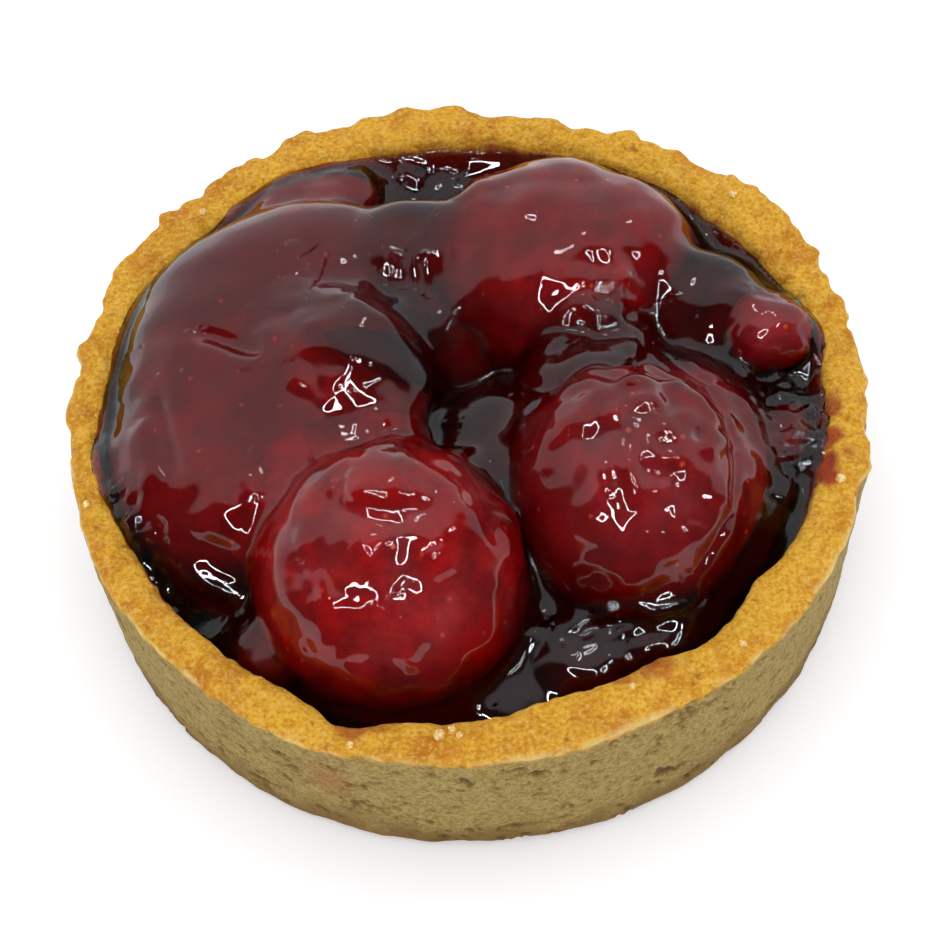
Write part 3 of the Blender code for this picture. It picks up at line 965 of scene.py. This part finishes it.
def flatten_floor(glaze):
    """Puts one fan of triangles in place of the many flat faces on the shell's floor."""
    shape = bmesh.new()
    shape.from_mesh(glaze.data)
    top = (FLOOR_THICKNESS - 0.25) * MM
    reach = (INNER_FLOOR_RADIUS - 1.5) * MM
    flat = [
        face
        for face in shape.faces
        if all(v.co.z < top and v.co.xy.length < reach for v in face.verts)
    ]
    bmesh.ops.delete(shape, geom=flat, context="FACES")
    loops = [edge.link_loops[0] for edge in shape.edges if edge.is_boundary]
    middle = shape.verts.new((0.0, 0.0, (FLOOR_THICKNESS - FLOOR_SEAT) * MM))
    for loop in loops:
        face = shape.faces.new((loop.link_loop_next.vert, loop.vert, middle))
        face.smooth = True
    shape.to_mesh(glaze.data)
    shape.free()


def make_glaze():
    """The clear glaze with the pools. Its normals come from the field, so that it mirrors
    smoothly."""
    points, faces = surface_net(glaze_field, GLAZE_LOW, GLAZE_HIGH, GLAZE_STEP, DETAIL_BAND)
    points = settle(points, glaze_field, GLAZE_STEP)
    glaze = mesh_object("glaze", points, faces)
    flatten_floor(glaze)
    points = np.empty(3 * len(glaze.data.vertices), np.float32)
    glaze.data.vertices.foreach_get("co", points)
    points = points.reshape(-1, 3) / np.float32(MM)
    normals = slope_of(glaze_field, points, True)
    normals /= np.linalg.norm(normals, axis=1, keepdims=True)
    glaze.data.normals_split_custom_set_from_vertices(normals.astype(float).tolist())
    glaze.data.materials.append(glaze_material())
    return glaze


def core_field(points, detail):
    """The same form as the glaze, some way under its surface."""
    return glaze_field(points, False) + CORE_DEPTH


def make_core():
    """The cloudy jelly that shows deep down through the clear glaze, redder by the berries."""
    points, faces = surface_net(core_field, GLAZE_LOW, GLAZE_HIGH, CORE_STEP, 0.0)
    points = settle(points, core_field, CORE_STEP)
    core = mesh_object("jelly_core", points, faces)
    away = np.min([berry_distance(points, berry) for berry in BERRIES], axis=0)
    add_attribute(core, "near", smoothstep(3.5, -1.0, away))
    material, tree, shader = new_material("jelly core")
    colour = mix_colour(tree, attribute_node(tree, "near"), CORE_DARK, CORE_RED)
    tree.links.new(colour, shader.inputs["Base Color"])
    shader.inputs["Roughness"].default_value = 0.6
    core.data.materials.append(material)
    return core


def make_fruit(berry, material):
    """The strawberry inside its glaze. It swells to the same depth under the glaze where
    the glaze joins two forms into one."""
    shape = bmesh.new()
    bmesh.ops.create_icosphere(shape, subdivisions=5, radius=1.0)
    sphere = np.array([vertex.co for vertex in shape.verts], np.float32)
    faces = np.array([[v.index for v in face.verts] for face in shape.faces])
    shape.free()
    flat = np.hypot(sphere[:, 0], sphere[:, 1])
    reach = (flat**berry.square + np.abs(sphere[:, 2]) ** berry.square) ** (1 / berry.square)
    sphere = sphere / reach[:, None]
    narrow = 1.0 - berry.taper * sphere[:, :1]
    size = np.array(berry.radii, np.float32) - berry.thick
    local = sphere * size * np.concatenate([np.ones_like(narrow), narrow, narrow], axis=1)
    points = local @ berry_rotation(berry).T
    outward = points / np.linalg.norm(points, axis=1, keepdims=True)
    room = FRUIT_REACH * smoothstep(-0.2, 0.3, outward[:, 2])
    points = points + np.array(berry.centre, np.float32)
    for _ in range(FRUIT_PASSES):
        move = np.clip(-0.7 * (berries_field(points, False) + berry.thick), 0.0, room)
        points = points + outward * move[:, None]
        room = room - move
    fruit = mesh_object(berry.name + "_fruit", points, faces)
    add_attribute(fruit, "deep", np.full(len(points), DEEP_BERRIES[berry.name]))
    fruit.data.materials.append(material)
    return fruit


def camera_axes():
    back = Vector((0, -math.cos(CAMERA_ELEVATION), math.sin(CAMERA_ELEVATION)))
    right = Vector((1, 0, 0))
    up = Vector((0, math.sin(CAMERA_ELEVATION), math.cos(CAMERA_ELEVATION)))
    cosine, sine = math.cos(CAMERA_ROLL), math.sin(CAMERA_ROLL)
    return right * cosine + up * sine, up * cosine - right * sine, back


def make_camera():
    right, up, back = camera_axes()
    place = (Vector(CAMERA_TARGET) + back * CAMERA_DISTANCE) * MM
    data = bpy.data.cameras.new("camera")
    camera = bpy.data.objects.new("camera", data)
    bpy.context.scene.collection.objects.link(camera)
    data.sensor_width = SENSOR
    data.lens = PIXELS_PER_MM * CAMERA_DISTANCE / PICTURE_SIDE * SENSOR
    data.clip_start = 0.01
    turn = Matrix((right, up, back)).transposed().to_4x4()
    camera.matrix_world = Matrix.Translation(place) @ turn
    bpy.context.scene.camera = camera


def direction(elevation, azimuth):
    """A direction from the tart. Azimuth 0 is the viewer's side, and 180 the far side."""
    up, round_ = math.radians(elevation), math.radians(azimuth)
    return (math.cos(up) * math.sin(round_), -math.cos(up) * math.cos(round_), math.sin(up))


def degrees_from(tree, sky, towards):
    """The angle in degrees between the world's direction and a fixed one."""
    dot = tree.nodes.new("ShaderNodeVectorMath")
    dot.operation = "DOT_PRODUCT"
    dot.inputs[1].default_value = towards
    tree.links.new(sky, dot.inputs[0])
    return math_node(tree, "DEGREES", math_node(tree, "ARCCOSINE", dot.outputs["Value"]))


def band(tree, value, full, none):
    """1 where the value is on the full side, falling smoothly to 0 towards none."""
    return spread(tree, value, none, full, "SMOOTHSTEP")


def make_world():
    """An even white studio. What shines also mirrors the dark side where the camera stands
    and the ring lamps."""
    world = bpy.data.worlds.new("studio")
    bpy.context.scene.world = world
    world.use_nodes = True
    tree = world.node_tree
    sky = tree.nodes.new("ShaderNodeTexCoord").outputs["Generated"]
    parts = tree.nodes.new("ShaderNodeSeparateXYZ")
    tree.links.new(sky, parts.inputs[0])
    below = band(tree, parts.outputs["Z"], *DARK_TOP)
    ahead = band(tree, math_node(tree, "MULTIPLY", parts.outputs["Y"], -1.0), *DARK_FRONT)
    shade = math_node(tree, "MULTIPLY", math_node(tree, "MULTIPLY", below, ahead), -DARK_DEPTH)
    mirrored = math_node(tree, "MULTIPLY", math_node(tree, "ADD", shade, 1.0), MIRRORED_WHITE)
    for lamp in RING_LAMPS:
        angle = degrees_from(tree, sky, direction(lamp.elevation, lamp.azimuth))
        away = math_node(tree, "ABSOLUTE", math_node(tree, "SUBTRACT", angle, lamp.radius))
        glow = band(tree, away, 0.3 * lamp.width, 0.6 * lamp.width)
        glow = math_node(tree, "MULTIPLY", glow, lamp.strength)
        mirrored = math_node(tree, "ADD", mirrored, glow)
    path = tree.nodes.new("ShaderNodeLightPath")
    mix = tree.nodes.new("ShaderNodeMix")
    mix.inputs["A"].default_value = STUDIO_WHITE
    direct = math_node(tree, "LESS_THAN", path.outputs["Diffuse Depth"], 0.5)
    direct = math_node(tree, "MULTIPLY", direct, path.outputs["Is Glossy Ray"])
    tree.links.new(direct, mix.inputs["Factor"])
    tree.links.new(mirrored, mix.inputs["B"])
    background = tree.nodes["Background"]
    background.inputs["Color"].default_value = STUDIO_TINT
    tree.links.new(mix.outputs["Result"], background.inputs["Strength"])


def make_floor():
    bpy.ops.mesh.primitive_plane_add(size=6.0, location=(0, 0, -0.0001))
    floor = bpy.context.object
    floor.name = "floor"
    material, _, shader = new_material("floor")
    shader.inputs["Base Color"].default_value = FLOOR_WHITE
    shader.inputs["Emission Color"].default_value = (1.0, 1.0, 1.0, 1.0)
    shader.inputs["Emission Strength"].default_value = FLOOR_GLOW
    shader.inputs["Roughness"].default_value = 0.9
    shader.inputs["Specular IOR Level"].default_value = 0.1
    floor.data.materials.append(material)


def main():
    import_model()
    bpy.context.scene.view_settings.view_transform = "Standard"
    glaze = make_glaze()
    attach(glaze, "root")
    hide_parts("jelly")
    core = make_core()
    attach(core, "root")
    fruit_material = berry_material()
    for berry in BERRIES:
        fruit = make_fruit(berry, fruit_material)
        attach(fruit, "root")
        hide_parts(berry.name)
    crust = make_crust()
    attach(crust, "root")
    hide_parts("crust")
    crumbs = make_crumbs(crust)
    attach(crumbs, "root")
    make_world()
    make_floor()
    make_camera()


main()
